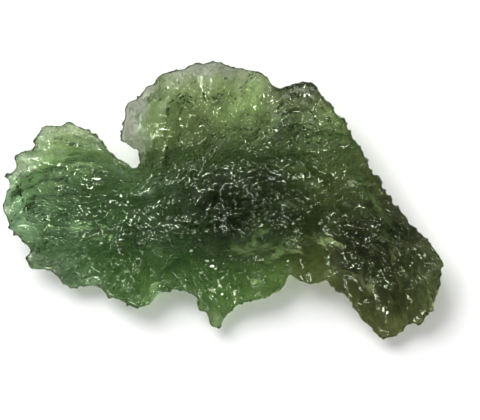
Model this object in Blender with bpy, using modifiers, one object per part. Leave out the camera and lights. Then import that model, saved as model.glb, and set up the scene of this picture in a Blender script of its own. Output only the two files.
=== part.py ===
"""A moldavite: one flat, winged stone of natural green glass that rests on a small flat spot.

+X is its length, +Y its width and +Z is up. The origin is under the middle of its box. The stone
is shaped in millimetres, and the finished mesh is scaled to metres.
"""

from collections import namedtuple

import bmesh
import bpy
import numpy as np
from mathutils import Matrix

MM = 0.001

# Driving dimensions, in millimetres.
LENGTH = 37.0  # from the left rim to the pointed side tip of the tail
BLANK_HALF = 1.5  # half the height of the flat blank that the stone is shaped from
FINE_STEP = 0.2  # mesh step of the blank
CURVE_STEPS = 3  # straight pieces between two outline points
FLANK = 2.2  # width of the slope behind the rim, as a multiple of the half thickness there
FLANK_CURVE = 1.6  # 1 makes that slope straight, and more makes it steeper at the rim
RIM_ROUND = 0.5  # how far the corners of the rim are drawn in, as a share of its half thickness
RIM_BAND = 3.0  # width of the band that this reaches, as a multiple of that distance
WEAR_SHARE = 0.35  # share of the way to its neighbours that a point moves as the surface wears
WEAR_ROUNDS = 3
BOWL_FULL = 1.3  # half thickness from which the bowls are as deep as they get
BOWL_LEAST = 0.2  # the share of that depth that the thinnest glass keeps
CREST_FADE = 1.2  # the crests sink towards the rim over this width
CREST_LEAST = 0.15  # the share of its height that a crest keeps at the rim
SEAT = (0.9, -0.7)  # centre of the flat spot that the stone rests on, under its centre of mass
SEAT_REACH = 3.4
SEAT_BULGE = 0.5  # how far the underside swells down at the seat
SEAT_CUT = 0.42  # how much of that swelling is worn off flat
SEAT_LEVEL = 0.03  # a point lower than this belongs to the flat spot
TRIANGLES = 9600
GLASS_COLOUR = (0.10, 0.20, 0.055, 1.0)

# The outline seen from above, counter-clockwise, as the points that a smooth line passes through.
OUTLINE = {
    "left lobe, upper edge": (
        (-7.40, 2.65), (-7.65, 2.75), (-7.80, 3.05), (-8.10, 3.25), (-8.30, 3.45), (-8.65, 3.45),
        (-8.95, 3.70), (-9.40, 4.15), (-9.80, 4.70), (-10.25, 5.25), (-10.65, 5.65),
        (-11.25, 5.95), (-11.90, 6.20), (-12.60, 6.55), (-12.90, 6.70), (-13.10, 6.60),
        (-13.25, 6.35), (-13.75, 6.25), (-14.60, 6.40), (-15.10, 6.25),
    ),
    "left lobe, outer edge": (
        (-15.40, 5.60), (-15.70, 5.30), (-15.80, 4.95), (-15.70, 4.65), (-15.95, 4.30),
        (-16.60, 4.25), (-17.00, 4.10), (-17.25, 3.70), (-17.45, 3.40), (-17.30, 3.15),
        (-17.15, 2.90), (-17.35, 2.60), (-17.75, 2.45), (-18.00, 2.15), (-18.15, 1.85),
        (-17.90, 1.35), (-18.15, 1.00), (-18.30, 0.60), (-18.20, 0.15), (-18.50, -0.40),
        (-18.40, -0.85), (-18.20, -1.05), (-18.00, -1.65), (-17.85, -2.35), (-17.60, -2.65),
        (-17.10, -3.10), (-16.60, -3.60), (-16.20, -4.05), (-16.10, -4.40),
    ),
    "left lobe, lower edge": (
        (-16.55, -4.50), (-16.60, -4.85), (-16.35, -5.40), (-16.00, -5.80), (-15.25, -5.75),
        (-14.65, -5.85), (-14.15, -6.15), (-13.70, -6.50), (-13.60, -6.90), (-13.25, -7.10),
        (-12.60, -7.25), (-11.60, -7.25), (-11.00, -7.10), (-10.40, -7.30), (-10.00, -7.60),
        (-9.80, -8.10), (-9.60, -8.30), (-9.15, -8.15), (-8.75, -8.35), (-8.10, -8.70),
        (-7.50, -8.90), (-6.95, -9.00), (-6.35, -8.85), (-5.85, -8.50), (-5.65, -8.15),
        (-5.35, -7.75), (-5.10, -7.45),
    ),
    "lower lobe and its knob": (
        (-4.60, -7.55), (-4.15, -7.45), (-3.75, -7.45), (-3.25, -7.65), (-2.75, -7.75),
        (-2.35, -8.10), (-2.15, -8.40), (-2.15, -9.00), (-1.90, -9.30), (-1.50, -9.30),
        (-1.30, -9.50), (-1.30, -9.90), (-1.10, -10.50), (-0.65, -10.70), (-0.20, -10.55),
        (0.00, -10.10), (0.30, -9.60), (0.60, -9.40), (0.85, -9.10), (1.30, -8.75),
        (1.75, -8.55), (2.35, -8.45), (2.75, -8.30), (3.35, -8.15), (3.95, -8.15),
        (4.05, -8.00), (4.10, -7.70), (4.50, -7.55), (4.90, -7.40), (5.15, -7.10),
        (5.30, -6.60), (5.40, -6.30), (5.55, -6.10),
    ),
    "right arm, inner edge": (
        (5.80, -6.30), (6.10, -6.60), (6.65, -6.80), (7.10, -7.00), (7.50, -7.05), (8.00, -6.85),
        (8.55, -6.65), (8.80, -6.80), (9.05, -7.20), (9.50, -7.50), (9.95, -7.80),
        (10.45, -8.35), (10.95, -9.00), (11.25, -9.50), (11.50, -9.95), (12.10, -10.40),
        (12.55, -10.95), (13.05, -11.50), (13.40, -11.65),
    ),
    "tail": (
        (13.85, -11.50), (14.40, -11.35), (14.90, -11.10), (15.15, -10.85), (15.20, -10.60),
        (15.50, -10.35), (16.00, -10.30), (16.55, -10.40), (16.85, -10.15), (16.90, -9.80),
        (17.30, -9.35), (17.60, -8.75), (17.85, -7.90), (18.15, -7.05), (18.20, -6.65),
        (18.00, -6.40), (18.30, -5.95), (18.10, -5.50), (18.40, -5.40), (18.50, -5.15),
    ),
    "right arm, outer edge": (
        (18.15, -4.75), (17.75, -4.10), (17.25, -3.40), (16.95, -2.95), (16.40, -2.60),
        (15.85, -2.20), (15.50, -1.90), (15.45, -1.45), (15.05, -1.10), (14.85, -0.80),
        (14.70, -0.55), (14.10, -0.05), (13.90, 0.40), (13.45, 0.95), (13.30, 1.40),
        (13.10, 1.75), (12.75, 2.10), (12.40, 2.70), (12.10, 3.20), (11.85, 3.60),
        (11.65, 4.25), (11.55, 4.60), (11.10, 4.90), (10.90, 5.35), (10.60, 5.90),
        (10.25, 6.40), (10.15, 6.70), (9.65, 7.15), (9.30, 7.60), (8.85, 8.15), (8.35, 8.65),
        (8.20, 9.00), (7.90, 9.40), (7.45, 9.80), (6.85, 10.05),
    ),
    "shoulder": (
        (6.35, 9.90), (6.10, 9.80), (5.90, 10.00), (5.80, 9.75), (5.30, 9.60), (5.05, 9.65),
        (4.85, 9.30), (4.70, 9.35), (4.45, 9.55), (4.05, 9.65), (3.85, 10.10), (3.85, 10.30),
    ),
    "upper lobe, top edge": (
        (3.40, 10.50), (3.05, 10.80), (2.25, 10.90), (1.40, 11.00), (1.00, 11.15), (0.35, 11.25),
        (-0.35, 11.55), (-0.80, 11.65), (-1.40, 11.50), (-2.10, 11.35), (-2.70, 11.40),
        (-3.05, 11.20), (-3.20, 10.90), (-3.60, 10.95), (-3.95, 10.85), (-4.20, 10.95),
        (-4.60, 10.75), (-4.95, 10.70), (-5.20, 10.45), (-5.55, 10.40),
    ),
    "upper lobe, left edge": (
        (-5.65, 9.80), (-6.20, 9.70), (-6.60, 9.35), (-6.90, 8.90), (-7.25, 8.50),
        (-7.85, 8.35), (-8.05, 8.10), (-8.25, 7.80), (-8.15, 7.55), (-8.25, 6.85),
        (-8.40, 6.15), (-8.60, 5.40), (-8.65, 4.95), (-8.15, 4.80), (-7.60, 4.50),
        (-7.10, 4.20), (-6.95, 3.85), (-7.05, 3.60), (-7.40, 3.50), (-6.95, 3.40),
        (-6.95, 3.15), (-7.15, 2.95),
    ),
}

# The body of the stone at places across it: x, y, the reach of the place, the height of the
# middle of the glass, half its thickness, half the thickness of the nearest rim, the way that
# the grooves run, in degrees from +X, and the width of the thin flange along the rim.
Place = namedtuple("Place", "x y reach middle half rim groove flange", defaults=(0.0,))
PLACES = {
    "left rim": Place(-17.3, -0.6, 2.2, 4.1, 1.5, 0.60, 178, 0.15),
    "left sheet": Place(-13.8, 4.2, 2.0, 4.7, 0.9, 0.35, -12),
    "left sheet corner": Place(-16.6, 3.0, 1.6, 4.6, 0.9, 0.40, 155, 0.15),
    "left body": Place(-13.0, -0.6, 2.4, 4.2, 2.6, 0.70, -4),
    "left foot": Place(-14.6, -4.6, 2.0, 2.7, 1.5, 0.50, 22),
    "left lip": Place(-11.4, -6.2, 1.7, 2.0, 1.4, 0.28, 35, 0.75),
    "neck": Place(-8.8, 0.0, 2.2, 4.3, 3.2, 0.80, 2),
    "lower bulge": Place(-7.2, -6.0, 2.2, 2.9, 2.0, 0.50, 62),
    "core, left": Place(-4.5, -1.0, 2.6, 4.5, 3.9, 0.80, -14),
    "core, right": Place(3.2, -0.8, 2.8, 4.6, 4.3, 0.80, -4),
    "lower lobe": Place(-0.6, -6.6, 2.0, 2.6, 1.8, 0.50, -72),
    "lower lobe, right": Place(3.9, -6.0, 1.8, 2.9, 1.4, 0.45, -28),
    "knob": Place(-0.7, -10.0, 1.0, 1.9, 0.8, 0.60, -88),
    "upper lobe, left": Place(-7.2, 6.4, 1.8, 4.6, 1.1, 0.28, 118, 0.85),
    "upper lobe": Place(-2.2, 6.6, 2.4, 5.0, 2.0, 0.32, 80),
    "upper lobe, top": Place(-0.6, 10.4, 1.8, 6.1, 1.0, 0.28, 92, 0.50),
    "upper lobe, right": Place(2.8, 7.6, 1.9, 5.3, 1.6, 0.50, 62),
    "shoulder": Place(6.4, 8.6, 1.7, 4.9, 2.3, 1.10, 50),
    "arm, top": Place(8.2, 5.6, 2.0, 4.6, 2.9, 1.30, 24),
    "arm, middle": Place(10.4, 1.6, 2.2, 4.3, 3.2, 1.40, 8),
    "arm, elbow": Place(12.6, -2.4, 2.2, 4.1, 3.3, 1.20, -24),
    "arm, inner ledge": Place(7.6, -5.4, 1.6, 3.4, 1.5, 0.55, -42),
    "tail": Place(14.4, -6.8, 2.1, 3.3, 2.5, 0.70, -62),
    "tail tip": Place(13.8, -10.2, 1.6, 2.0, 1.3, 0.50, -68),
    "side tip": Place(17.4, -5.6, 1.3, 4.2, 1.2, 0.45, -18),
}

# Crests on the upper side. Each has a steep face on the left of its line and a gentle back on
# the right: the points, the height, and the widths of the gentle and the steep side.
Crest = namedtuple("Crest", "points height gentle steep")
UPPER_CRESTS = {
    "edge of the left body": Crest(
        ((-17.2, 0.9), (-15.6, 1.5), (-14.0, 2.1), (-12.2, 2.9), (-11.0, 3.1), (-9.6, 2.6),
         (-8.2, 2.3)), 0.75, 2.0, 0.60),
    "furrow side on the left body": Crest(
        ((-17.0, -1.3), (-14.5, -0.9), (-12.0, -1.2), (-9.5, -1.0)), 0.40, 0.9, 0.45),
    "second furrow side": Crest(
        ((-16.2, -3.0), (-14.0, -2.7), (-11.5, -3.2), (-9.4, -3.6)), 0.40, 0.9, 0.45),
    "core over the upper lobe": Crest(
        ((-6.8, 2.3), (-5.0, 3.2), (-2.6, 2.8), (0.2, 3.2), (3.0, 2.6), (5.4, 3.3)),
        0.35, 2.0, 1.40),
    "core over the lower lobe": Crest(
        ((6.2, -3.7), (4.8, -3.9), (3.6, -3.6), (1.8, -3.3), (0.2, -2.7), (-2.2, -2.5),
         (-4.2, -3.5), (-5.6, -4.4)), 0.60, 2.0, 0.70),
    "crease across the arm": Crest(
        ((6.4, 3.0), (8.6, 1.3), (9.8, 2.0), (12.0, 2.8)), 0.60, 1.1, 0.50),
    "step at the lower notch": Crest(
        ((5.6, -6.3), (5.9, -5.2), (6.6, -4.2)), 0.45, 1.4, 0.35),
    "back of the arm": Crest(
        ((9.0, 4.4), (11.2, 0.6), (13.0, -3.2), (14.2, -6.4), (14.2, -9.0)), 0.45, 1.4, 1.4),
    "side ridge of the tail": Crest(
        ((14.6, -6.6), (15.6, -7.6), (16.2, -8.8)), 0.40, 0.9, 0.4),
    "ridge to the side tip": Crest(
        ((16.4, -4.6), (17.5, -5.0), (18.3, -5.3)), 0.35, 0.6, 0.35),
}
UNDER_CRESTS = {
    "keel of the left lobe": Crest(
        ((-16.4, 0.4), (-13.0, -0.4), (-9.6, 0.2), (-6.4, 1.6)), 0.60, 1.6, 0.9),
    "keel of the arm": Crest(
        ((6.0, 5.2), (9.0, 2.2), (11.6, -1.6), (13.4, -5.8)), 0.60, 1.6, 0.9),
    "rib of the upper lobe": Crest(
        ((-5.6, 8.2), (-2.4, 6.4), (0.6, 3.6)), 0.40, 1.2, 0.6),
    "rib of the lower lobe": Crest(
        ((-6.8, -7.2), (-4.4, -5.2), (-1.6, -3.8)), 0.40, 1.2, 0.6),
}

# Bowls that cover both sides: the step between them, their depth, and how long they are along
# the grooves and how wide across, as multiples of the step.
Bowls = namedtuple("Bowls", "step depth long wide seed")
UPPER_BOWLS = Bowls(1.75, 0.75, 1.05, 0.62, 11)
UNDER_BOWLS = Bowls(2.10, 0.75, 1.00, 0.70, 29)
BOWL_PLACES = (0.1, 0.9)  # where the middle of a bowl can lie in its step
BOWL_TURN = 0.25  # how far a bowl turns from the grooves, in radians
BOWL_LONG = (0.75, 1.3)  # shortest and longest bowl, as shares of the length above
BOWL_WIDE = (0.8, 1.2)
BOWL_DEEP = (0.65, 1.0)


def clear_scene():
    for found in list(bpy.data.objects):
        bpy.data.objects.remove(found, do_unlink=True)


def new_collection(name):
    collection = bpy.data.collections.new(name)
    bpy.context.scene.collection.children.link(collection)
    return collection


def glass():
    material = bpy.data.materials.new("moldavite_glass")
    material.use_nodes = True
    shader = material.node_tree.nodes["Principled BSDF"]
    shader.inputs["Base Color"].default_value = GLASS_COLOUR
    shader.inputs["Roughness"].default_value = 0.12
    shader.inputs["Metallic"].default_value = 0.0
    shader.inputs["IOR"].default_value = 1.49
    shader.inputs["Transmission Weight"].default_value = 0.9
    return material


def smooth_outline():
    """The closed outline as an array of points: a Catmull-Rom line through the named points."""
    points = np.array([point for stretch in OUTLINE.values() for point in stretch])
    before, after, beyond = (np.roll(points, shift, axis=0) for shift in (1, -1, -2))
    steps = []
    for t in np.arange(CURVE_STEPS) / CURVE_STEPS:
        steps.append(0.5 * (
            2 * points
            + (after - before) * t
            + (2 * before - 5 * points + 4 * after - beyond) * t**2
            + (3 * points - before - 3 * after + beyond) * t**3
        ))
    return np.stack(steps, axis=1).reshape(-1, 2)


def flat_blank(outline):
    """The outline as a flat plate, remeshed to even faces all over."""
    curve = bpy.data.curves.new("outline", "CURVE")
    curve.dimensions = "2D"
    curve.fill_mode = "BOTH"
    curve.extrude = BLANK_HALF
    spline = curve.splines.new("POLY")
    spline.points.add(len(outline) - 1)
    for point, (x, y) in zip(spline.points, outline):
        point.co = (x, y, 0.0, 1.0)
    spline.use_cyclic_u = True
    plate = bpy.data.objects.new("outline", curve)
    bpy.context.scene.collection.objects.link(plate)
    welded = evaluated_mesh(plate)
    bpy.data.objects.remove(plate)

    work = bmesh.new()
    work.from_mesh(welded)
    bmesh.ops.remove_doubles(work, verts=work.verts, dist=0.0001)
    work.to_mesh(welded)
    work.free()
    return modified(welded, "REMESH", mode="VOXEL", voxel_size=FINE_STEP)


def evaluated_mesh(item):
    return bpy.data.meshes.new_from_object(
        item.evaluated_get(bpy.context.evaluated_depsgraph_get())
    )


def modified(mesh, kind, **settings):
    """The mesh after one modifier."""
    item = bpy.data.objects.new("work", mesh)
    bpy.context.scene.collection.objects.link(item)
    modifier = item.modifiers.new(kind.lower(), kind)
    for name, value in settings.items():
        setattr(modifier, name, value)
    result = evaluated_mesh(item)
    bpy.data.objects.remove(item)
    return result


def read_points(mesh):
    points = np.empty(len(mesh.vertices) * 3)
    mesh.vertices.foreach_get("co", points)
    return points.reshape(-1, 3)


def write_points(mesh, points):
    mesh.vertices.foreach_set("co", points.ravel())
    mesh.update()


def to_line(places, line, closed=False):
    """For each place, its distance to a line of points, its side, from 1 on the left to -1 on
    the right, and the direction that is left of the line there."""
    starts, ends = (line, np.roll(line, -1, axis=0)) if closed else (line[:-1], line[1:])
    nearest = np.full(len(places), np.inf)
    side = np.ones(len(places))
    left = np.zeros_like(places)
    for start, end in zip(starts, ends):
        along = end - start
        offset = places - start
        t = np.clip(offset @ along / (along @ along), 0.0, 1.0)
        distance = np.linalg.norm(offset - t[:, None] * along, axis=1)
        closer = distance < nearest
        nearest[closer] = distance[closer]
        turned = np.array((-along[1], along[0])) / np.linalg.norm(along)
        side[closer] = (offset[closer] @ turned) / np.maximum(distance[closer], 1e-9)
        left[closer] = turned
    return nearest, side, left


def blend(places, *names):
    """The named values of PLACES, blended across the stone by nearness."""
    total = np.zeros(len(places))
    sums = [np.zeros(len(places)) for _ in names]
    for spot in PLACES.values():
        away = (places[:, 0] - spot.x) ** 2 + (places[:, 1] - spot.y) ** 2
        weight = np.exp(-away / (2.0 * spot.reach**2)) + 1e-9
        total += weight
        for values, name in zip(sums, names):
            values += weight * getattr(spot, name)
    return [values / total for values in sums]


def groove_way(places):
    """The direction of the grooves in radians. A groove has no front, so angles are doubled."""
    cosine, sine = np.zeros(len(places)), np.zeros(len(places))
    for spot in PLACES.values():
        away = (places[:, 0] - spot.x) ** 2 + (places[:, 1] - spot.y) ** 2
        weight = np.exp(-away / (2.0 * spot.reach**2)) + 1e-9
        cosine += weight * np.cos(2.0 * np.radians(spot.groove))
        sine += weight * np.sin(2.0 * np.radians(spot.groove))
    return 0.5 * np.arctan2(sine, cosine)


def crest_height(places, crests):
    """The height of the tallest crest at each place."""
    height = np.zeros(len(places))
    for crest in crests.values():
        distance, side, _ = to_line(places, np.array(crest.points))
        width = crest.gentle + (crest.steep - crest.gentle) * (1.0 + side) / 2.0
        height = np.maximum(height, crest.height * np.exp(-((distance / width) ** 2)))
    return height


def bowl_depth(places, bowls):
    """How deep the bowls go at each place, from 0 on the sharp crests between them to 1."""
    random = np.random.default_rng(bowls.seed)
    low = np.floor(places.min(axis=0) / bowls.step).astype(int) - 3
    high = np.ceil(places.max(axis=0) / bowls.step).astype(int) + 3
    columns, rows = high - low
    grid = np.stack(np.meshgrid(np.arange(columns), np.arange(rows), indexing="ij"), axis=-1)
    centres = (grid + low + random.uniform(*BOWL_PLACES, grid.shape)) * bowls.step
    way = groove_way(centres.reshape(-1, 2)).reshape(columns, rows)
    way += random.normal(0.0, BOWL_TURN, way.shape)
    long = bowls.step * bowls.long * random.uniform(*BOWL_LONG, way.shape)
    wide = bowls.step * bowls.wide * random.uniform(*BOWL_WIDE, way.shape)
    deep = random.uniform(*BOWL_DEEP, way.shape)

    cell = np.floor(places / bowls.step).astype(int) - low
    depth = np.zeros(len(places))
    for step_x in (-2, -1, 0, 1, 2):
        for step_y in (-2, -1, 0, 1, 2):
            i, j = cell[:, 0] + step_x, cell[:, 1] + step_y
            offset = places - centres[i, j]
            cosine, sine = np.cos(way[i, j]), np.sin(way[i, j])
            u = (offset[:, 0] * cosine + offset[:, 1] * sine) / long[i, j]
            v = (offset[:, 1] * cosine - offset[:, 0] * sine) / wide[i, j]
            depth = np.maximum(depth, deep[i, j] * (1.0 - u**2 - v**2))
    return depth


def shape_stone(mesh, outline):
    """Moves the points of the flat blank to the surface of the stone."""
    points = read_points(mesh)
    flat = points[:, :2]
    level = np.clip(points[:, 2] / BLANK_HALF, -1.0, 1.0)
    inward, _, inside = to_line(flat, outline, closed=True)
    middle, half, rim, flange = blend(flat, "middle", "half", "rim", "flange")
    far = 1.0 - np.clip((inward - flange) / (FLANK * half), 0.0, 1.0)
    swell = 1.0 - far**FLANK_CURVE
    thick = rim + (half - rim) * swell

    upper, under = np.clip(level, 0.0, 1.0), np.clip(-level, 0.0, 1.0)
    from_seat = np.linalg.norm(flat - np.array(SEAT), axis=1) / SEAT_REACH
    seat = np.exp(-(from_seat**2))
    bowl_share = np.clip(thick / BOWL_FULL, BOWL_LEAST, 1.0)
    crest_share = np.clip(inward / CREST_FADE, CREST_LEAST, 1.0)
    top = crest_share * crest_height(flat, UPPER_CRESTS)
    top = top - bowl_share * UPPER_BOWLS.depth * bowl_depth(flat, UPPER_BOWLS)
    base = crest_share * crest_height(flat, UNDER_CRESTS)
    base = base - bowl_share * UNDER_BOWLS.depth * bowl_depth(flat, UNDER_BOWLS)
    base = base * (1.0 - seat) + SEAT_BULGE * seat
    points[:, 2] = middle + level * thick + upper * top - under * base

    draw = RIM_ROUND * rim
    draw_here = draw * np.clip(1.0 - inward / (RIM_BAND * draw), 0.0, 1.0)
    points[:, :2] += inside * (draw_here * (1.0 - np.sqrt(1.0 - level**2)))[:, None]
    points = worn(mesh, points)
    floor = points[:, 2].min() + SEAT_CUT
    points[:, 2] = np.maximum(points[:, 2] - floor, 0.0)
    write_points(mesh, points)


def worn(mesh, points):
    """The surface worn a little smooth: each point moves towards its neighbours."""
    ends = np.empty(len(mesh.edges) * 2, dtype=int)
    mesh.edges.foreach_get("vertices", ends)
    first, second = ends.reshape(-1, 2).T
    count = np.bincount(ends, minlength=len(points))[:, None]
    for _ in range(WEAR_ROUNDS):
        total = np.zeros_like(points)
        np.add.at(total, first, points[second])
        np.add.at(total, second, points[first])
        points = points + WEAR_SHARE * (total / count - points)
    return points


def centre_and_scale(mesh):
    """Sets the length, puts the origin under the middle of the box, and turns to metres."""
    points = read_points(mesh)
    low, high = points.min(axis=0), points.max(axis=0)
    size = LENGTH / (high[0] - low[0])
    middle = (low + high) / 2.0
    floor = Matrix.Translation((-middle[0], -middle[1], 0.0))
    mesh.transform(Matrix.Scale(MM * size, 4) @ floor)


def build():
    clear_scene()
    outline = smooth_outline()
    blank = flat_blank(outline)
    shape_stone(blank, outline)
    whole = 2 * len(blank.polygons)
    stone = modified(blank, "DECIMATE", ratio=TRIANGLES / whole)
    points = read_points(stone)
    points[points[:, 2] < SEAT_LEVEL, 2] = 0.0
    write_points(stone, points)
    centre_and_scale(stone)
    stone.name = "moldavite"
    stone.materials.clear()
    stone.materials.append(glass())
    stone.shade_smooth()
    item = bpy.data.objects.new("moldavite", stone)
    new_collection("moldavite").objects.link(item)
    return item


build()
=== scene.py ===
import math
from collections import namedtuple

import bmesh
import bpy
import numpy as np
from mathutils import Matrix, Vector
from mathutils.bvhtree import BVHTree


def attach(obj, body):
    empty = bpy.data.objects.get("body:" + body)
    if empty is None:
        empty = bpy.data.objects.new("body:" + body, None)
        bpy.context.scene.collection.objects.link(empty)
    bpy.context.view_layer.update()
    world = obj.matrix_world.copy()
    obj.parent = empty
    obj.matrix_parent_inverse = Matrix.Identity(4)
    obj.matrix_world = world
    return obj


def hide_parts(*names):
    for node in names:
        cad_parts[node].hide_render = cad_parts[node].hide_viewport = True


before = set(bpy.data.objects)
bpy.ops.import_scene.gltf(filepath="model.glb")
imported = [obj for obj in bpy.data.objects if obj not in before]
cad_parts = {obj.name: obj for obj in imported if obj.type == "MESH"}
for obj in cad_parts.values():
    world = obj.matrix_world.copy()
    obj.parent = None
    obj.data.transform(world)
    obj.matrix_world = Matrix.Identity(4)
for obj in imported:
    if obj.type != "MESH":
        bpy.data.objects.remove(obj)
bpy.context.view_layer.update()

# The surface is shaped in millimetres, in the part's own frame, and then scaled to metres.
MM = 0.001
WELD = 0.001  # corners of the loaded faces closer than this are one corner
FINE_STEP = 0.14  # mesh step of the visible surface
SOFT_SHARE = 0.5  # how far each height is drawn towards its neighbours' in a round
SOFT_ROUNDS = 3

# What the surface is like at places across the stone: x, y, the reach of the place, the way that
# its grooves run in degrees from +X, how deep its pits are, how deep its long grooves are, how
# warm its colour is from teal to brown, how grey its thin glass is, how dark its glass is and how
# crusty its skin is. The last six are shares of the most that is usual. A few are below 0 or
# above 1, so that the place still stands out once it is blended with its neighbours.
Place = namedtuple("Place", "x y reach groove pits streaks warm grey dark crust")
SHARES = ("pits", "streaks", "warm", "grey", "dark", "crust")
PLACES = {
    "left rim": Place(-17.3, -0.6, 2.2, 178, 0.6, 0.4, 0.10, 0.5, 0.05, 0.1),
    "left sheet": Place(-13.8, 4.2, 2.0, -12, 0.3, 0.8, 0.60, 0.45, 0.00, 0.2),
    "left sheet corner": Place(-16.6, 3.0, 1.6, 155, 0.3, 0.4, 0.25, 0.8, 0.12, 0.1),
    "left body": Place(-13.0, -0.6, 2.4, -4, 0.9, 0.8, 0.00, 0.3, 0.10, 0.1),
    "left body, smooth patch": Place(-10.4, 0.7, 1.6, -20, 0.05, 0.1, 0.60, 0.0, 0.84, 0.0),
    "left foot": Place(-14.6, -4.6, 2.0, 22, 1.0, 0.9, 0.10, 0.3, 0.34, 0.1),
    "left lip": Place(-11.4, -6.2, 1.7, 35, 0.6, 0.5, 0.25, 0.2, 0.40, 0.0),
    "neck": Place(-8.8, -1.6, 1.9, 2, 1.0, 0.6, 0.10, 0.0, 0.46, 0.1),
    "lower bulge": Place(-7.2, -6.0, 2.2, 62, 0.7, 0.5, 0.35, 0.1, 0.41, 0.0),
    "core, left": Place(-4.5, -1.0, 2.6, -14, 1.0, 0.4, 0.25, 0.0, 0.55, 0.1),
    "core, right": Place(3.2, -1.3, 2.4, -4, 1.0, 0.3, 0.50, 0.0, 0.98, 0.1),
    "lower lobe": Place(-0.6, -6.6, 2.0, -72, 0.55, 0.4, 0.40, 0.2, 0.36, 0.0),
    "lower lobe, right": Place(3.9, -6.0, 1.8, -28, 0.35, 0.4, 0.50, 0.1, 0.30, 0.1),
    "knob": Place(-0.7, -10.0, 1.0, -88, 0.5, 0.4, 0.50, 0.2, 0.45, 0.0),
    "upper lobe, left": Place(-7.2, 6.4, 1.8, 118, 0.50, 0.2, 0.55, 1.0, 0.39, 0.0),
    "upper lobe": Place(-2.2, 6.6, 2.4, 80, 1.0, 0.3, 0.70, 0.3, 0.52, 0.0),
    "upper lobe, top": Place(-0.6, 10.4, 1.8, 92, 0.60, 0.2, 0.65, 1.0, 0.38, 0.1),
    "upper lobe, right": Place(2.2, 7.4, 1.6, 62, 1.0, 0.8, 0.60, 0.2, -0.20, 0.1),
    "shoulder": Place(6.4, 8.6, 2.0, 50, 1.0, 0.6, 0.75, 0.3, 1.10, 0.6),
    "shoulder, crust": Place(6.6, 9.5, 0.8, 40, 1.0, 0.4, 0.80, 0.3, 1.15, 2.4),
    "core, top": Place(1.8, 3.4, 1.6, 10, 1.0, 0.6, 0.62, 0.0, 0.25, 0.1),
    "under the core": Place(1.8, -3.0, 1.2, -10, 1.0, 0.5, 0.45, 0.0, 0.95, 0.1),
    "arm, crease": Place(7.6, 2.4, 1.4, 20, 0.5, 0.8, 0.65, 0.0, 0.00, 0.1),
    "arm, top": Place(8.2, 5.6, 2.0, 24, 1.0, 0.9, 0.60, 0.1, -0.30, 0.3),
    "arm, upper edge": Place(10.4, 4.4, 1.0, 60, 0.6, 0.5, 0.90, 0.1, 0.90, 0.3),
    "arm, lower edge": Place(13.0, 1.2, 1.0, 52, 0.5, 0.5, 1.00, 0.1, 0.90, 0.2),
    "arm, middle": Place(10.4, 1.6, 2.2, 8, 0.4, 0.5, 0.95, 0.2, 0.32, 0.3),
    "arm, elbow": Place(12.6, -2.4, 2.2, -24, 0.5, 0.7, 0.90, 0.1, 1.04, 0.15),
    "arm, inner ledge": Place(7.6, -5.4, 1.6, -42, 0.15, 0.3, 1.00, 0.0, 0.48, 0.0),
    "tail": Place(14.4, -6.8, 2.1, -62, 0.40, 0.7, 1.00, 0.1, 0.74, 0.1),
    "tail tip": Place(13.8, -10.2, 1.6, -68, 0.20, 0.7, 1.00, 0.0, 0.50, 0.0),
    "side tip": Place(17.4, -5.6, 1.3, -18, 0.30, 0.6, 0.80, 0.2, 0.60, 0.1),
}
LEAST_WEIGHT = 1e-9  # every place counts at least this much, so the blend is never empty

# Overlapping oval bowls, one in each square cell: the step of the cells, how long and wide the
# bowls are as multiples of the step, how far in radians their ways differ from the grooves' and
# the seed of their random values.
Bowls = namedtuple("Bowls", "step long wide stray seed")
BOWL_CENTRES = (0.05, 0.95)  # where the centres are in their cells
BOWL_LONG = (0.7, 1.35)  # how much the bowls of a layer differ in length, width and depth
BOWL_WIDE = (0.75, 1.25)
BOWL_DEEP = (0.55, 1.0)
BOWL_REACH = 2  # bowls count up to this many cells away
BEND = 0.25  # how far the rows of cells are bent, as a share of the step
BEND_STEP = 0.8
BEND_SEEDS = (100, 200)  # added to the seed for the bending in x and y
UNDER_SEED = 50  # added to the seed on the lower side

# Layers of carving: the bowls, their depth and the share of a place that they follow.
Carving = namedtuple("Carving", "bowls depth share")
CARVINGS = (
    Carving(Bowls(1.05, 1.00, 0.62, 0.35, 3), 0.12, "pits"),
    Carving(Bowls(0.60, 0.90, 0.60, 0.60, 5), 0.05, "pits"),
    Carving(Bowls(0.38, 0.95, 0.60, 0.80, 6), 0.035, "pits"),
    Carving(Bowls(0.95, 1.75, 0.34, 0.12, 7), 0.16, "streaks"),
    Carving(Bowls(0.50, 1.75, 0.36, 0.15, 9), 0.08, "streaks"),
)
FULL_THICKNESS = 3.6  # the carving is shallower where the glass is thinner than this
LEAST_CARVING = 0.3  # but not shallower than this share
SIDE_FADE = 0.7  # the sides' carving blends over this much of the normal's z, round the rim
SEAT_KEEP = 0.35  # the carving fades out below this height, so the flat spot stays flat
START_INSIDE = 0.02  # a line through the glass starts this far inside it

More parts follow.
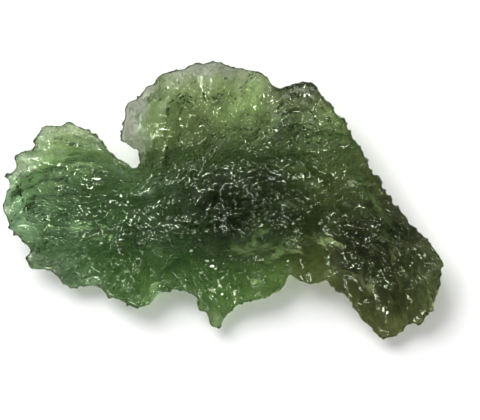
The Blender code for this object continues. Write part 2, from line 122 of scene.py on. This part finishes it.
# Single grooves and ribs of the upper side: half width, depth (less than zero for a rib) and the
# points that each one runs through.
# Their grooves also get painted shade in the tint, and their ribs painted light.
Line = namedtuple("Line", "width depth points")
LINES = {
    "ledge under the left sheet": Line(0.22, 0.22, (
        (-16.9, 1.1), (-15.0, 1.9), (-13.1, 2.0), (-12.5, 2.7),
        (-11.4, 3.0), (-10.0, 2.4), (-8.4, 1.7),
    )),
    "fold in the left sheet": Line(0.14, 0.12, ((-15.3, 3.2), (-13.7, 2.8), (-11.6, 2.9))),
    "bright fold in the left sheet": Line(0.16, -0.10, ((-12.2, 3.3), (-10.2, 3.1), (-8.8, 2.7))),
    "rib of the left sheet": Line(0.14, -0.08, ((-15.6, 4.0), (-13.8, 3.7), (-11.4, 3.9))),
    "left rib, upper": Line(0.16, -0.16, ((-14.4, 0.1), (-12.9, -0.2), (-11.2, -0.8))),
    "left groove, upper": Line(0.16, 0.16, ((-16.1, 0.4), (-14.6, 0.5), (-13.1, 0.6))),
    "left rib, middle": Line(0.16, -0.14, ((-10.4, -0.8), (-9.2, -0.7), (-7.8, -0.8))),
    "left groove, middle": Line(0.18, 0.16, ((-14.9, -1.1), (-13.2, -1.3), (-10.9, -1.8))),
    "left rib, lower": Line(0.15, -0.14, ((-14.1, -1.7), (-13.1, -1.9), (-11.9, -2.0))),
    "left groove, lower": Line(0.20, 0.16, (
        (-15.2, -2.9), (-13.4, -3.2), (-10.6, -3.4), (-8.8, -3.9),
    )),
    "foot rib": Line(0.15, -0.12, ((-15.6, -4.2), (-14.1, -4.2), (-12.5, -5.0))),
    "foot groove": Line(0.18, 0.14, ((-15.8, -5.1), (-13.9, -5.4), (-12.2, -6.2))),
    "neck rib": Line(0.15, -0.14, ((-6.1, -1.1), (-4.9, -1.7), (-3.8, -2.5))),
    "neck groove": Line(0.20, 0.18, ((-7.9, -2.1), (-6.2, -2.4), (-4.4, -2.9))),
    "dark slot": Line(0.32, 0.22, ((-1.5, -2.2), (0.4, -2.0), (2.4, -2.2))),
    "lip over the slot": Line(0.14, -0.10, ((-1.3, -1.7), (0.5, -1.4), (2.0, -0.8), (4.0, -0.8))),
    "curved rib, left": Line(0.13, -0.12, ((-3.8, -3.9), (-3.2, -3.8), (-2.7, -3.1), (-2.3, -2.7))),
    "curved rib, right": Line(0.16, -0.16, ((3.2, -3.3), (4.0, -3.8), (4.8, -3.8), (5.8, -4.0))),
    "lens in the lower lobe": Line(0.30, 0.22, ((-0.5, -4.8), (0.6, -5.0), (1.8, -5.3))),
    "rib of the lower lobe": Line(0.18, -0.12, ((2.9, -4.9), (4.1, -5.1), (5.2, -5.8))),
    "groove of the bulge": Line(0.24, 0.18, ((-5.4, -7.4), (-5.1, -6.5), (-4.8, -5.6))),
    "upper fan, first": Line(0.16, 0.14, ((6.4, 7.8), (5.1, 7.5), (3.3, 7.2), (1.4, 7.2))),
    "upper fan, second": Line(0.16, -0.10, ((6.4, 7.4), (4.0, 6.8), (1.9, 5.9), (0.4, 5.7))),
    "upper fan, third": Line(0.18, 0.14, ((6.1, 6.6), (4.2, 6.1), (2.2, 5.2))),
    "dark notch of the upper lobe": Line(0.40, 0.16, ((-6.2, 3.6), (-5.2, 4.2), (-4.1, 4.1))),
    "arm rib, upper": Line(0.16, -0.12, ((4.8, 2.8), (5.9, 2.8), (6.9, 2.6))),
    "arm rib, slanting": Line(0.24, -0.16, ((6.2, 2.0), (7.4, 1.5), (8.8, 0.8))),
    "arm crease": Line(0.20, 0.20, ((8.9, 0.7), (10.2, 1.4), (10.9, 2.4), (12.2, 3.0))),
    "arm crease, lower": Line(0.26, 0.18, ((10.8, -1.8), (12.1, -1.4), (13.8, -1.9), (15.2, -1.9))),
    "arm rib, lower": Line(0.22, -0.10, ((10.2, -1.0), (11.9, -0.6), (14.1, -0.2))),
    "tail keel": Line(0.30, -0.14, ((12.2, -4.2), (11.9, -6.6), (12.6, -8.1), (13.3, -9.5))),
    "tail groove": Line(0.28, 0.16, ((14.1, -5.1), (14.6, -6.9), (15.1, -8.2))),
    "tip groove": Line(0.16, 0.16, ((15.6, -4.1), (16.9, -4.8), (18.1, -5.1))),
}
LINE_STRAY = 0.10  # how far the single lines wander, and over what step
LINE_STRAY_STEP = 0.6
LINE_SEED = 21
HOLLOW = Line(0.90, 0.32, ((-17.2, 0.9), (-16.8, 0.1)))  # in both sides, behind the left rim

# Notches in the rim, which is where the surface is steep.
NOTCHES = Bowls(0.50, 0.80, 0.60, 1.50, 12)
NOTCH_DEPTH = 0.40
NOTCH_STEEP = 0.6  # the notches fade out as the normal's z goes up to this
NOTCH_MEAN = 0.75  # how much of the notches' depth there is, on average
NOTCH_SPREAD = 0.9  # how much that differs along the rim, within what limits and over what step
NOTCH_LIMITS = (0.1, 1.4)
NOTCH_STEP = 1.4
RIM_OUT = 0.16  # the rim is moved out by this, so its notches don't make the stone smaller

# Glass, with absorption in each metre of it.
GLASS_IOR = 1.49
ABSORPTION_COLOUR = (0.20, 0.35, 0.10, 1.0)
ABSORPTION_DENSITY = 60.0

# Its tint by how warm it is, and the noise of its warmer and cooler patches and of its mottling.
# Noise has a scale in cells to the metre, a detail, a roughness and the range of its values that
# is spread over 0 to 1.
TINTS = (
    (0.0, (0.57, 0.91, 0.53)),
    (0.35, (0.58, 0.91, 0.38)),
    (0.65, (0.69, 0.91, 0.38)),
    (1.0, (0.82, 0.87, 0.39)),
)
Noise = namedtuple("Noise", "scale detail roughness low high")
PATCHES = Noise(260.0, 3.0, 0.5, 0.0, 1.0)
PATCH_WARMTH = 0.5
MOTTLE = Noise(2200.0, 3.0, 0.6, -0.9, 0.8)
FURROWS = Bowls(0.34, 2.20, 0.40, 0.25, 15)  # thin dark lines along the grooves
BANDS = Bowls(1.10, 2.00, 0.22, 0.15, 17)  # broad dark bands along them
DEEP_TINT = 0.88  # what the tint is multiplied by in each millimetre of glass
# What the tint is multiplied by where a share is 0, and how much more that is where it is 1.
DARK_TINT = (1.0, -0.83)
FURROW_TINT = (1.0, -0.5556)
BAND_TINT = (1.16, -0.55)
PAINTED_PIT_HIGHLIGHT = (0.88, 0.90)  # painted highlight: a pit is tinted paler, in place of its small glints
LINE_PAINTED_SHADE_AND_LIGHT = (1.0, 0.35)  # painted shade and light: a single groove is tinted darker, and a single rib paler

# Its skin: dull and grey where the glass is thinnest, with specks of crust in places.
THIN = (1.6, 0.5)  # millimetres of glass where the grey begins and where it is full
THIN_TINT = (0.175, 0.18, 0.14, 1.0)
THIN_ROUGHNESS = 0.3
SPECKS = Noise(1900.0, 3.0, 0.6, 0.53, 0.64)
SPECK_SHARE = 0.5
DUST = (0.70, 0.67, 0.60, 1.0)
GLOSS = Noise(900.0, 2.0, 0.5, -0.1, 8.0)

# Small oval pits etched into it, in layers: the size of a pit's cell, its share of the depth and
# the seed of its place in the pattern.
PitLayer = namedtuple("PitLayer", "size share seed")
PIT_LAYERS = (PitLayer(0.72, 0.45, 1), PitLayer(0.52, 0.40, 2), PitLayer(0.36, 0.30, 3))
PIT_DEPTH = 0.18 * MM
PIT_SHIFT = 100.0 * MM  # how far apart in the pattern two layers are
PIT_LONG = 0.55  # half length of a small pit, as a share of its cell
PIT_WIDE = 0.27
PIT_STRAY = 2.0  # how far in radians the pits' ways differ
PIT_ABSENT = 0.15  # the share of the cells that have none
PIT_LEAST = -0.2  # the share of a place at which it would have none

# Camera straight above the stone. CENTRE is the point in the middle of the picture, and the
# picture's scale holds at the height of the stone's rim.
CENTRE = (1.417 * MM, -0.75 * MM)
RIM_HEIGHT = 4.0 * MM
DISTANCE = 0.30  # metres above the rim
CLIP_START = 0.01
PIXELS_ACROSS = 480
PIXELS_PER_MM = 12.0
SENSOR = 36.0

# White paper, in metres, with a gap under the stone that keeps the two faces apart.
PAPER_REACH = 1.5  # half its side
PAPER_GAP = 0.02 * MM
PAPER_COLOUR = (0.9, 0.9, 0.9, 1.0)
PAPER_ROUGHNESS = 0.9

# The pale room. What the skin mirrors of it is dim, and brighter towards the ground.
ROOM_COLOUR = (1.0, 1.0, 1.0, 1.0)
ROOM_LIGHT = 0.6
MIRROR_HEIGHTS = (-0.3, -0.9)  # the z of the ways between which its light goes up
MIRROR_LIGHT = (0.05, 0.5)

# The soft lamp at the upper left, with lengths in metres and the radiance in watts to the square
# metre and steradian.
KEY_WAY = (-0.50, 0.76, 0.95)
KEY_AWAY = 0.5
KEY_SIZE = (0.33, 0.33)
KEY_RADIANCE = 8.7

# Narrow lamps that only the gloss shows: the way to each in degrees round from +X and down from
# overhead, how far it is turned from lying along that way, its length and its radiance.
GLINT_WIDTH = 0.024
GLINT_AWAY = 0.40
GLINT_TINT = (0.90, 1.0, 0.78)
Glint = namedtuple("Glint", "round down turn length radiance")
GLINTS = {
    "glint_left": Glint(168, 32, 20, 0.06, 140.0),
    "glint_near_left": Glint(200, 21, -40, 0.04, 130.0),
    "glint_top": Glint(72, 31, -25, 0.06, 48.0),
    "glint_right": Glint(338, 34, 15, 0.06, 34.0),
    "glint_front": Glint(262, 40, -30, 0.06, 30.0),
    "glint_front_left": Glint(236, 50, 30, 0.07, 60.0),
    "glint_low_left": Glint(196, 58, 40, 0.08, 45.0),
    "glint_low_top": Glint(63, 54, 60, 0.08, 85.0),
    "glint_low_right": Glint(10, 58, -60, 0.08, 24.0),
    "glint_low_front": Glint(262, 72, 70, 0.10, 30.0),
}

# How many times light is followed on through the glass, at the most.
BOUNCES = 24
GLOSSY_BOUNCES = 16
TRANSMISSION_BOUNCES = 20


def near_places(points):
    """Each of PLACES, with how much it counts at each point."""
    for place in PLACES.values():
        away = (points[:, 0] - place.x) ** 2 + (points[:, 1] - place.y) ** 2
        yield place, np.exp(-away / (2.0 * place.reach**2)) + LEAST_WEIGHT


def blend(points):
    """The shares of PLACES, blended across the stone by nearness."""
    total = np.zeros(len(points))
    sums = {name: np.zeros(len(points)) for name in SHARES}
    for place, weight in near_places(points):
        total += weight
        for name, values in sums.items():
            values += weight * getattr(place, name)
    return {name: values / total for name, values in sums.items()}


def groove_way(points):
    """The direction of the grooves in radians. A groove has no front, so angles are doubled."""
    cosine, sine = np.zeros(len(points)), np.zeros(len(points))
    for place, weight in near_places(points):
        cosine += weight * np.cos(2.0 * np.radians(place.groove))
        sine += weight * np.sin(2.0 * np.radians(place.groove))
    return 0.5 * np.arctan2(sine, cosine)


def wobble(points, step, seed):
    """Smooth random values from -1 to 1 on a lattice of that step."""
    random = np.random.default_rng(seed)
    low = np.floor(points.min(axis=0) / step).astype(int) - 1
    high = np.ceil(points.max(axis=0) / step).astype(int) + 2
    values = random.uniform(-1.0, 1.0, high - low)
    scaled = points / step - low
    cell = np.floor(scaled).astype(int)
    part = scaled - cell
    part = part * part * (3.0 - 2.0 * part)
    i, j = cell[:, 0], cell[:, 1]
    near = values[i, j] + (values[i + 1, j] - values[i, j]) * part[:, 0]
    far = values[i, j + 1] + (values[i + 1, j + 1] - values[i, j + 1]) * part[:, 0]
    return near + (far - near) * part[:, 1]


def wandered(points, distance, step, seeds):
    """The points moved by smooth random amounts of up to that distance."""
    return points + distance * np.column_stack([wobble(points, step, seed) for seed in seeds])


def bowl_depth(points, bowls, more_seed=0):
    """How deep the bowls go at each point, from 0 on the sharp crests between them to 1."""
    step = bowls.step
    seed = bowls.seed + more_seed
    random = np.random.default_rng(seed)
    bent = wandered(points, BEND * step, BEND_STEP * step, [seed + more for more in BEND_SEEDS])
    low = np.floor(bent.min(axis=0) / step).astype(int) - BOWL_REACH - 1
    high = np.ceil(bent.max(axis=0) / step).astype(int) + BOWL_REACH + 1
    columns, rows = high - low
    grid = np.stack(np.meshgrid(np.arange(columns), np.arange(rows), indexing="ij"), axis=-1)
    centres = (grid + low + random.uniform(*BOWL_CENTRES, grid.shape)) * step
    way = groove_way(centres.reshape(-1, 2)).reshape(columns, rows)
    way += random.normal(0.0, bowls.stray, way.shape)
    long = step * bowls.long * random.uniform(*BOWL_LONG, way.shape)
    wide = step * bowls.wide * random.uniform(*BOWL_WIDE, way.shape)
    deep = random.uniform(*BOWL_DEEP, way.shape)

    cell = np.floor(bent / step).astype(int) - low
    depth = np.zeros(len(bent))
    for step_x in range(-BOWL_REACH, BOWL_REACH + 1):
        for step_y in range(-BOWL_REACH, BOWL_REACH + 1):
            i, j = cell[:, 0] + step_x, cell[:, 1] + step_y
            offset = bent - centres[i, j]
            cosine, sine = np.cos(way[i, j]), np.sin(way[i, j])
            u = (offset[:, 0] * cosine + offset[:, 1] * sine) / long[i, j]
            v = (offset[:, 1] * cosine - offset[:, 0] * sine) / wide[i, j]
            depth = np.maximum(depth, deep[i, j] * (1.0 - u**2 - v**2))
    return depth


def nearness(points, line):
    """How near each point is to a line, from 1 on it to 0 away from it."""
    nearest = np.full(len(points), np.inf)
    for start, end in zip(np.array(line.points[:-1]), np.array(line.points[1:])):
        run = end - start
        along = np.clip(((points - start) @ run) / (run @ run), 0.0, 1.0)
        away = points - start - along[:, None] * run
        nearest = np.minimum(nearest, (away**2).sum(axis=1))
    return np.exp(-nearest / line.width**2)


def notch_depth(points, steep):
    """How far the steep rim is cut back at each point. It is less than 0 where it is moved out."""
    share = NOTCH_MEAN + NOTCH_SPREAD * wobble(points, NOTCH_STEP, NOTCHES.seed)
    share = np.clip(share, *NOTCH_LIMITS)
    return steep * share * (NOTCH_DEPTH * bowl_depth(points, NOTCHES) - RIM_OUT)


def read_vectors(items, name):
    """A vector of each item, in rows."""
    values = np.empty(len(items) * 3)
    items.foreach_get(name, values)
    return values.reshape(-1, 3)


def fine_mesh(node):
    """A copy of the CAD stone in millimetres, rounded off and remeshed to an even fine step."""
    mesh = node.data.copy()
    mesh.transform(Matrix.Scale(1.0 / MM, 4))
    work = bmesh.new()
    work.from_mesh(mesh)
    bmesh.ops.remove_doubles(work, verts=work.verts, dist=WELD)
    work.to_mesh(mesh)
    work.free()
    item = bpy.data.objects.new("work", mesh)
    bpy.context.scene.collection.objects.link(item)
    item.modifiers.new("round", "SUBSURF").levels = 1
    remesh = item.modifiers.new("even", "REMESH")
    remesh.mode = "VOXEL"
    remesh.voxel_size = FINE_STEP
    fine = bpy.data.meshes.new_from_object(
        item.evaluated_get(bpy.context.evaluated_depsgraph_get())
    )
    bpy.data.objects.remove(item)
    return fine


def softened(mesh, heights):
    """The heights with each drawn towards its neighbours', which rounds off sharp ridges."""
    ends = np.empty(len(mesh.edges) * 2, dtype=int)
    mesh.edges.foreach_get("vertices", ends)
    first, second = ends.reshape(-1, 2).T
    count = np.bincount(ends, minlength=len(heights))
    for _ in range(SOFT_ROUNDS):
        total = np.bincount(first, heights[second], len(heights))
        total += np.bincount(second, heights[first], len(heights))
        heights = heights + SOFT_SHARE * (total / count - heights)
    return heights


def thickness(mesh, points, normals):
    """How much glass is above or below each point, in millimetres."""
    tree = BVHTree.FromPolygons(points.tolist(), [face.vertices for face in mesh.polygons])
    found = np.zeros(len(points))
    for index, (point, normal) in enumerate(zip(points, normals)):
        way = Vector((0.0, 0.0, -1.0 if normal[2] > 0.0 else 1.0))
        _, _, _, distance = tree.ray_cast(Vector(point) + way * START_INSIDE, way)
        found[index] = distance or 0.0
    return found


def carve(mesh):
    """Sinks bowls and grooves into both sides, and stores what the skin is like at each point."""
    points = read_vectors(mesh.vertices, "co")
    points[:, 2] = softened(mesh, points[:, 2])
    mesh.vertices.foreach_set("co", points.ravel())
    mesh.update()
    normals = read_vectors(mesh.vertex_normals, "vector")
    flat = points[:, :2]
    skin = blend(flat)
    skin["thick"] = thickness(mesh, points, normals)
    allowed = np.clip(skin["thick"] / FULL_THICKNESS, LEAST_CARVING, 1.0)
    up = np.clip(0.5 + normals[:, 2] / SIDE_FADE, 0.0, 1.0)

    depth = np.zeros(len(points))
    for carving in CARVINGS:
        upper = up * bowl_depth(flat, carving.bowls)
        under = (1.0 - up) * bowl_depth(flat, carving.bowls, UNDER_SEED)
        depth += carving.depth * skin[carving.share] * allowed * (upper + under)
    bent = wandered(flat, LINE_STRAY, LINE_STRAY_STEP, (LINE_SEED, LINE_SEED + 1))
    # The line share paints shade into single grooves and light onto single ribs, in the tint.
    skin["line"] = np.zeros(len(points))
    for line in LINES.values():
        near = up * nearness(bent, line)
        depth += line.depth * allowed * near
        skin["line"] -= math.copysign(1.0, line.depth) * near
    depth += HOLLOW.depth * nearness(bent, HOLLOW)
    steep = np.clip(1.0 - np.abs(normals[:, 2]) / NOTCH_STEEP, 0.0, 1.0)
    depth += notch_depth(flat, steep)
    depth *= np.clip(points[:, 2] / SEAT_KEEP, 0.0, 1.0)
    points = points - normals * depth[:, None]
    mesh.vertices.foreach_set("co", (points * MM).ravel())

    carved = points[:, :2]
    streaks = skin.pop("streaks")
    skin["way"] = groove_way(carved)
    skin["furrow"] = streaks * bowl_depth(carved, FURROWS)
    skin["band"] = streaks * bowl_depth(carved, BANDS)
    for name, values in skin.items():
        attribute = mesh.attributes.new(name, "FLOAT", "POINT")
        attribute.data.foreach_set("value", values.astype(np.float32))
    mesh.update()


class Nodes:
    """Short calls that add shader nodes to a material or a world and link them."""

    def __init__(self, owner):
        owner.use_nodes = True
        self.tree = owner.node_tree

    def feed(self, node, inputs):
        """Links inputs of a node to sockets, or sets their values."""
        for name, value in inputs.items():
            if isinstance(value, bpy.types.NodeSocket):
                self.tree.links.new(value, node.inputs[name])
            else:
                node.inputs[name].default_value = value

    def add(self, kind, inputs=None, **settings):
        node = self.tree.nodes.new(kind)
        for name, value in settings.items():
            setattr(node, name, value)
        self.feed(node, inputs or {})
        return node

    def attribute(self, name):
        return self.add("ShaderNodeAttribute", attribute_name=name).outputs["Fac"]

    def math(self, operation, first, second, **settings):
        inputs = {0: first, 1: second}
        return self.add("ShaderNodeMath", inputs, operation=operation, **settings).outputs[0]

    def product(self, first, *others):
        for other in others:
            first = self.math("MULTIPLY", first, other)
        return first

    def vector(self, operation, first, second):
        inputs = {0: first, 1: second}
        return self.add("ShaderNodeVectorMath", inputs, operation=operation).outputs["Vector"]

    def scale(self, vector, factor):
        inputs = {0: vector, "Scale": factor}
        return self.add("ShaderNodeVectorMath", inputs, operation="SCALE").outputs["Vector"]

    def length(self, vector):
        return self.add("ShaderNodeVectorMath", {0: vector}, operation="LENGTH").outputs["Value"]

    def spread(self, value, low, high, first=0.0, last=1.0, **settings):
        """The value, with its range from low to high spread over first to last."""
        inputs = {"Value": value, "From Min": low, "From Max": high, "To Min": first, "To Max": last}
        return self.add("ShaderNodeMapRange", inputs, **settings).outputs["Result"]

    def noise(self, place, noise):
        inputs = {"Vector": place, "Scale": noise.scale, "Detail": noise.detail}
        inputs["Roughness"] = noise.roughness
        value = self.add("ShaderNodeTexNoise", inputs).outputs["Fac"]
        return self.spread(value, noise.low, noise.high)

    def ramp(self, value, stops):
        """A colour picked by a value, blended between stops of a place and a colour."""
        node = self.add("ShaderNodeValToRGB", {"Fac": value})
        for index, (place, colour) in enumerate(stops):
            if index >= len(node.color_ramp.elements):
                node.color_ramp.elements.new(place)
            node.color_ramp.elements[index].position = place
            node.color_ramp.elements[index].color = (*colour, 1.0)
        return node.outputs["Color"]

    def mix(self, share, first, second):
        inputs = {"Factor": share, "A": first, "B": second}
        return self.add("ShaderNodeMix", inputs, data_type="RGBA").outputs["Result"]


def pits(nodes, place, layer):
    """Small oval pits, from 0 on the skin to 1 at their bottoms, drawn out along the groove."""
    scale = 1.0 / (layer.size * MM)
    shifted = nodes.vector("ADD", place, (PIT_SHIFT * layer.seed, 0.0, 0.0))
    cells = nodes.add("ShaderNodeTexVoronoi", {"Vector": shifted, "Scale": scale}).outputs
    offset = nodes.scale(nodes.vector("SUBTRACT", shifted, cells["Position"]), scale)
    random = nodes.add("ShaderNodeSeparateColor", {"Color": cells["Color"]}).outputs
    stray = nodes.product(nodes.math("SUBTRACT", random["Red"], 0.5), PIT_STRAY)
    way = nodes.math("ADD", nodes.attribute("way"), stray)
    turn = {"Vector": offset, "Angle": nodes.product(way, -1.0)}
    turned = nodes.add("ShaderNodeVectorRotate", turn, rotation_type="Z_AXIS").outputs["Vector"]
    oval = nodes.vector("MULTIPLY", turned, (1.0 / PIT_LONG, 1.0 / PIT_WIDE, 1.0))
    inside = nodes.spread(nodes.length(oval), 1.0, 0.0, interpolation_type="SMOOTHSTEP")
    return nodes.product(inside, nodes.spread(random["Green"], PIT_ABSENT, 1.0))


def pit_depth(nodes, place):
    """The depth of all the layers of pits, from 0 to about 1."""
    depth = 0.0
    for layer in PIT_LAYERS:
        share = nodes.product(pits(nodes, place, layer), layer.share)
        depth = nodes.math("ADD", depth, share)
    return nodes.product(depth, nodes.spread(nodes.attribute("pits"), PIT_LEAST, 1.0))


def glass_tint(nodes, place, depth):
    """Green, from teal to brown, darker in thick and dark glass and along the grooves, with painted
    shade in single grooves, painted light on single ribs and painted highlights in the pits.
    """
    patches = nodes.math("SUBTRACT", nodes.noise(place, PATCHES), 0.5)
    warm = nodes.math("ADD", nodes.attribute("warm"), nodes.product(patches, PATCH_WARMTH))
    deep = nodes.math("POWER", DEEP_TINT, nodes.attribute("thick"))
    shade = nodes.product(deep, nodes.noise(place, MOTTLE))
    changes = (
        (nodes.attribute("dark"), DARK_TINT),
        (nodes.attribute("furrow"), FURROW_TINT),
        (nodes.attribute("band"), BAND_TINT),
        # painted shade in single grooves and painted light on single ribs
        (nodes.attribute("line"), LINE_PAINTED_SHADE_AND_LIGHT),
        # painted highlight: the pits are tinted paler
        (depth, PAINTED_PIT_HIGHLIGHT),
    )
    for share, (plain, more) in changes:
        change = nodes.math("ADD", nodes.product(share, more), plain)
        shade = nodes.product(shade, change)
    return nodes.scale(nodes.ramp(warm, TINTS), shade)


def glass():
    """Clear green glass, tinted olive and brown towards the arm, with a pitted skin."""
    material = bpy.data.materials.new("moldavite_glass_surface")
    nodes = Nodes(material)
    place = nodes.add("ShaderNodeTexCoord").outputs["Object"]
    # The pits' depth shapes the bump, and also paints highlights into the tint (painted highlight).
    depth = pit_depth(nodes, place)
    thin = nodes.spread(nodes.attribute("thick"), *THIN)
    grey = nodes.product(thin, nodes.attribute("grey"))
    dust = nodes.product(nodes.noise(place, SPECKS), nodes.attribute("crust"), SPECK_SHARE)
    tint = nodes.mix(grey, glass_tint(nodes, place, depth), THIN_TINT)
    rough = nodes.math("ADD", nodes.noise(place, GLOSS), dust)
    bump = nodes.add(
        "ShaderNodeBump", {"Height": depth, "Strength": 1.0, "Distance": PIT_DEPTH}, invert=True
    )
    nodes.feed(nodes.tree.nodes["Principled BSDF"], {
        "Base Color": nodes.mix(dust, tint, DUST),
        "Roughness": nodes.math("ADD", rough, nodes.product(grey, THIN_ROUGHNESS)),
        "Normal": bump.outputs["Normal"],
        "Transmission Weight": 1.0,
        "IOR": GLASS_IOR,
    })
    inside = {"Color": ABSORPTION_COLOUR, "Density": ABSORPTION_DENSITY}
    absorption = nodes.add("ShaderNodeVolumeAbsorption", inside).outputs["Volume"]
    nodes.feed(nodes.tree.nodes["Material Output"], {"Volume": absorption})
    return material


def stone_surface():
    mesh = fine_mesh(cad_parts["moldavite"])
    carve(mesh)
    mesh.materials.clear()
    mesh.materials.append(glass())
    mesh.shade_smooth()
    item = bpy.data.objects.new("moldavite_surface", mesh)
    bpy.context.scene.collection.objects.link(item)
    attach(item, "root")
    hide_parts("moldavite")


def floor():
    mesh = bpy.data.meshes.new("floor")
    work = bmesh.new()
    bmesh.ops.create_grid(work, x_segments=1, y_segments=1, size=PAPER_REACH)
    work.to_mesh(mesh)
    work.free()
    material = bpy.data.materials.new("white_paper")
    nodes = Nodes(material)
    nodes.feed(nodes.tree.nodes["Principled BSDF"], {
        "Base Color": PAPER_COLOUR,
        "Roughness": PAPER_ROUGHNESS,
        "Specular IOR Level": 0.0,
    })
    mesh.materials.append(material)
    item = bpy.data.objects.new("floor", mesh)
    item.location.z = -PAPER_GAP
    item.visible_glossy = False
    bpy.context.scene.collection.objects.link(item)


def room():
    """A pale room. What the skin mirrors of it is dim, so that the lamps glint."""
    world = bpy.data.worlds.new("room")
    nodes = Nodes(world)
    rays = nodes.add("ShaderNodeLightPath").outputs
    glossy, through = rays["Is Glossy Ray"], rays["Is Transmission Ray"]
    mirrored = nodes.math("SUBTRACT", glossy, through, use_clamp=True)
    way = nodes.add("ShaderNodeTexCoord").outputs["Generated"]
    height = nodes.add("ShaderNodeSeparateXYZ", {"Vector": way}).outputs["Z"]
    mirror_light = nodes.spread(height, *MIRROR_HEIGHTS, *MIRROR_LIGHT)
    light = nodes.spread(mirrored, 0.0, 1.0, ROOM_LIGHT, mirror_light)
    nodes.feed(nodes.tree.nodes["Background"], {"Color": ROOM_COLOUR, "Strength": light})
    bpy.context.scene.world = world


def lamp(name, direction, distance, size, radiance, turn=0.0):
    """A soft lamp of that width, height and radiance, aimed at the stone from a direction."""
    light = bpy.data.lights.new(name, "AREA")
    light.shape = "RECTANGLE"
    light.size, light.size_y = size
    light.energy = radiance * math.pi * size[0] * size[1]
    item = bpy.data.objects.new(name, light)
    away = Vector(direction).normalized()
    item.location = Vector((*CENTRE, RIM_HEIGHT)) + away * distance
    aim = away.to_track_quat("Z", "Y").to_matrix() @ Matrix.Rotation(math.radians(turn), 3, "Z")
    item.rotation_euler = aim.to_euler()
    bpy.context.scene.collection.objects.link(item)
    return item


def lamps():
    """The soft lamp, which the skin doesn't mirror, and the narrow ones, which only it shows."""
    lamp("key", KEY_WAY, KEY_AWAY, KEY_SIZE, KEY_RADIANCE).visible_glossy = False
    for name, glint in GLINTS.items():
        around, down = math.radians(glint.round), math.radians(glint.down)
        flat = math.sin(down)
        way = (flat * math.cos(around), flat * math.sin(around), math.cos(down))
        size = (GLINT_WIDTH, glint.length)
        item = lamp(name, way, GLINT_AWAY, size, glint.radiance, glint.turn)
        item.data.color = GLINT_TINT
        item.visible_diffuse = False
        item.visible_transmission = False


def camera():
    data = bpy.data.cameras.new("camera")
    data.sensor_width = SENSOR
    data.lens = SENSOR * DISTANCE / MM * PIXELS_PER_MM / PIXELS_ACROSS
    data.clip_start = CLIP_START
    item = bpy.data.objects.new("camera", data)
    item.location = (*CENTRE, RIM_HEIGHT + DISTANCE)
    bpy.context.scene.collection.objects.link(item)
    bpy.context.scene.camera = item


def look():
    scene = bpy.context.scene
    scene.view_settings.view_transform = "Standard"
    scene.cycles.max_bounces = BOUNCES
    scene.cycles.glossy_bounces = GLOSSY_BOUNCES
    scene.cycles.transmission_bounces = TRANSMISSION_BOUNCES


stone_surface()
floor()
room()
lamps()
camera()
look()
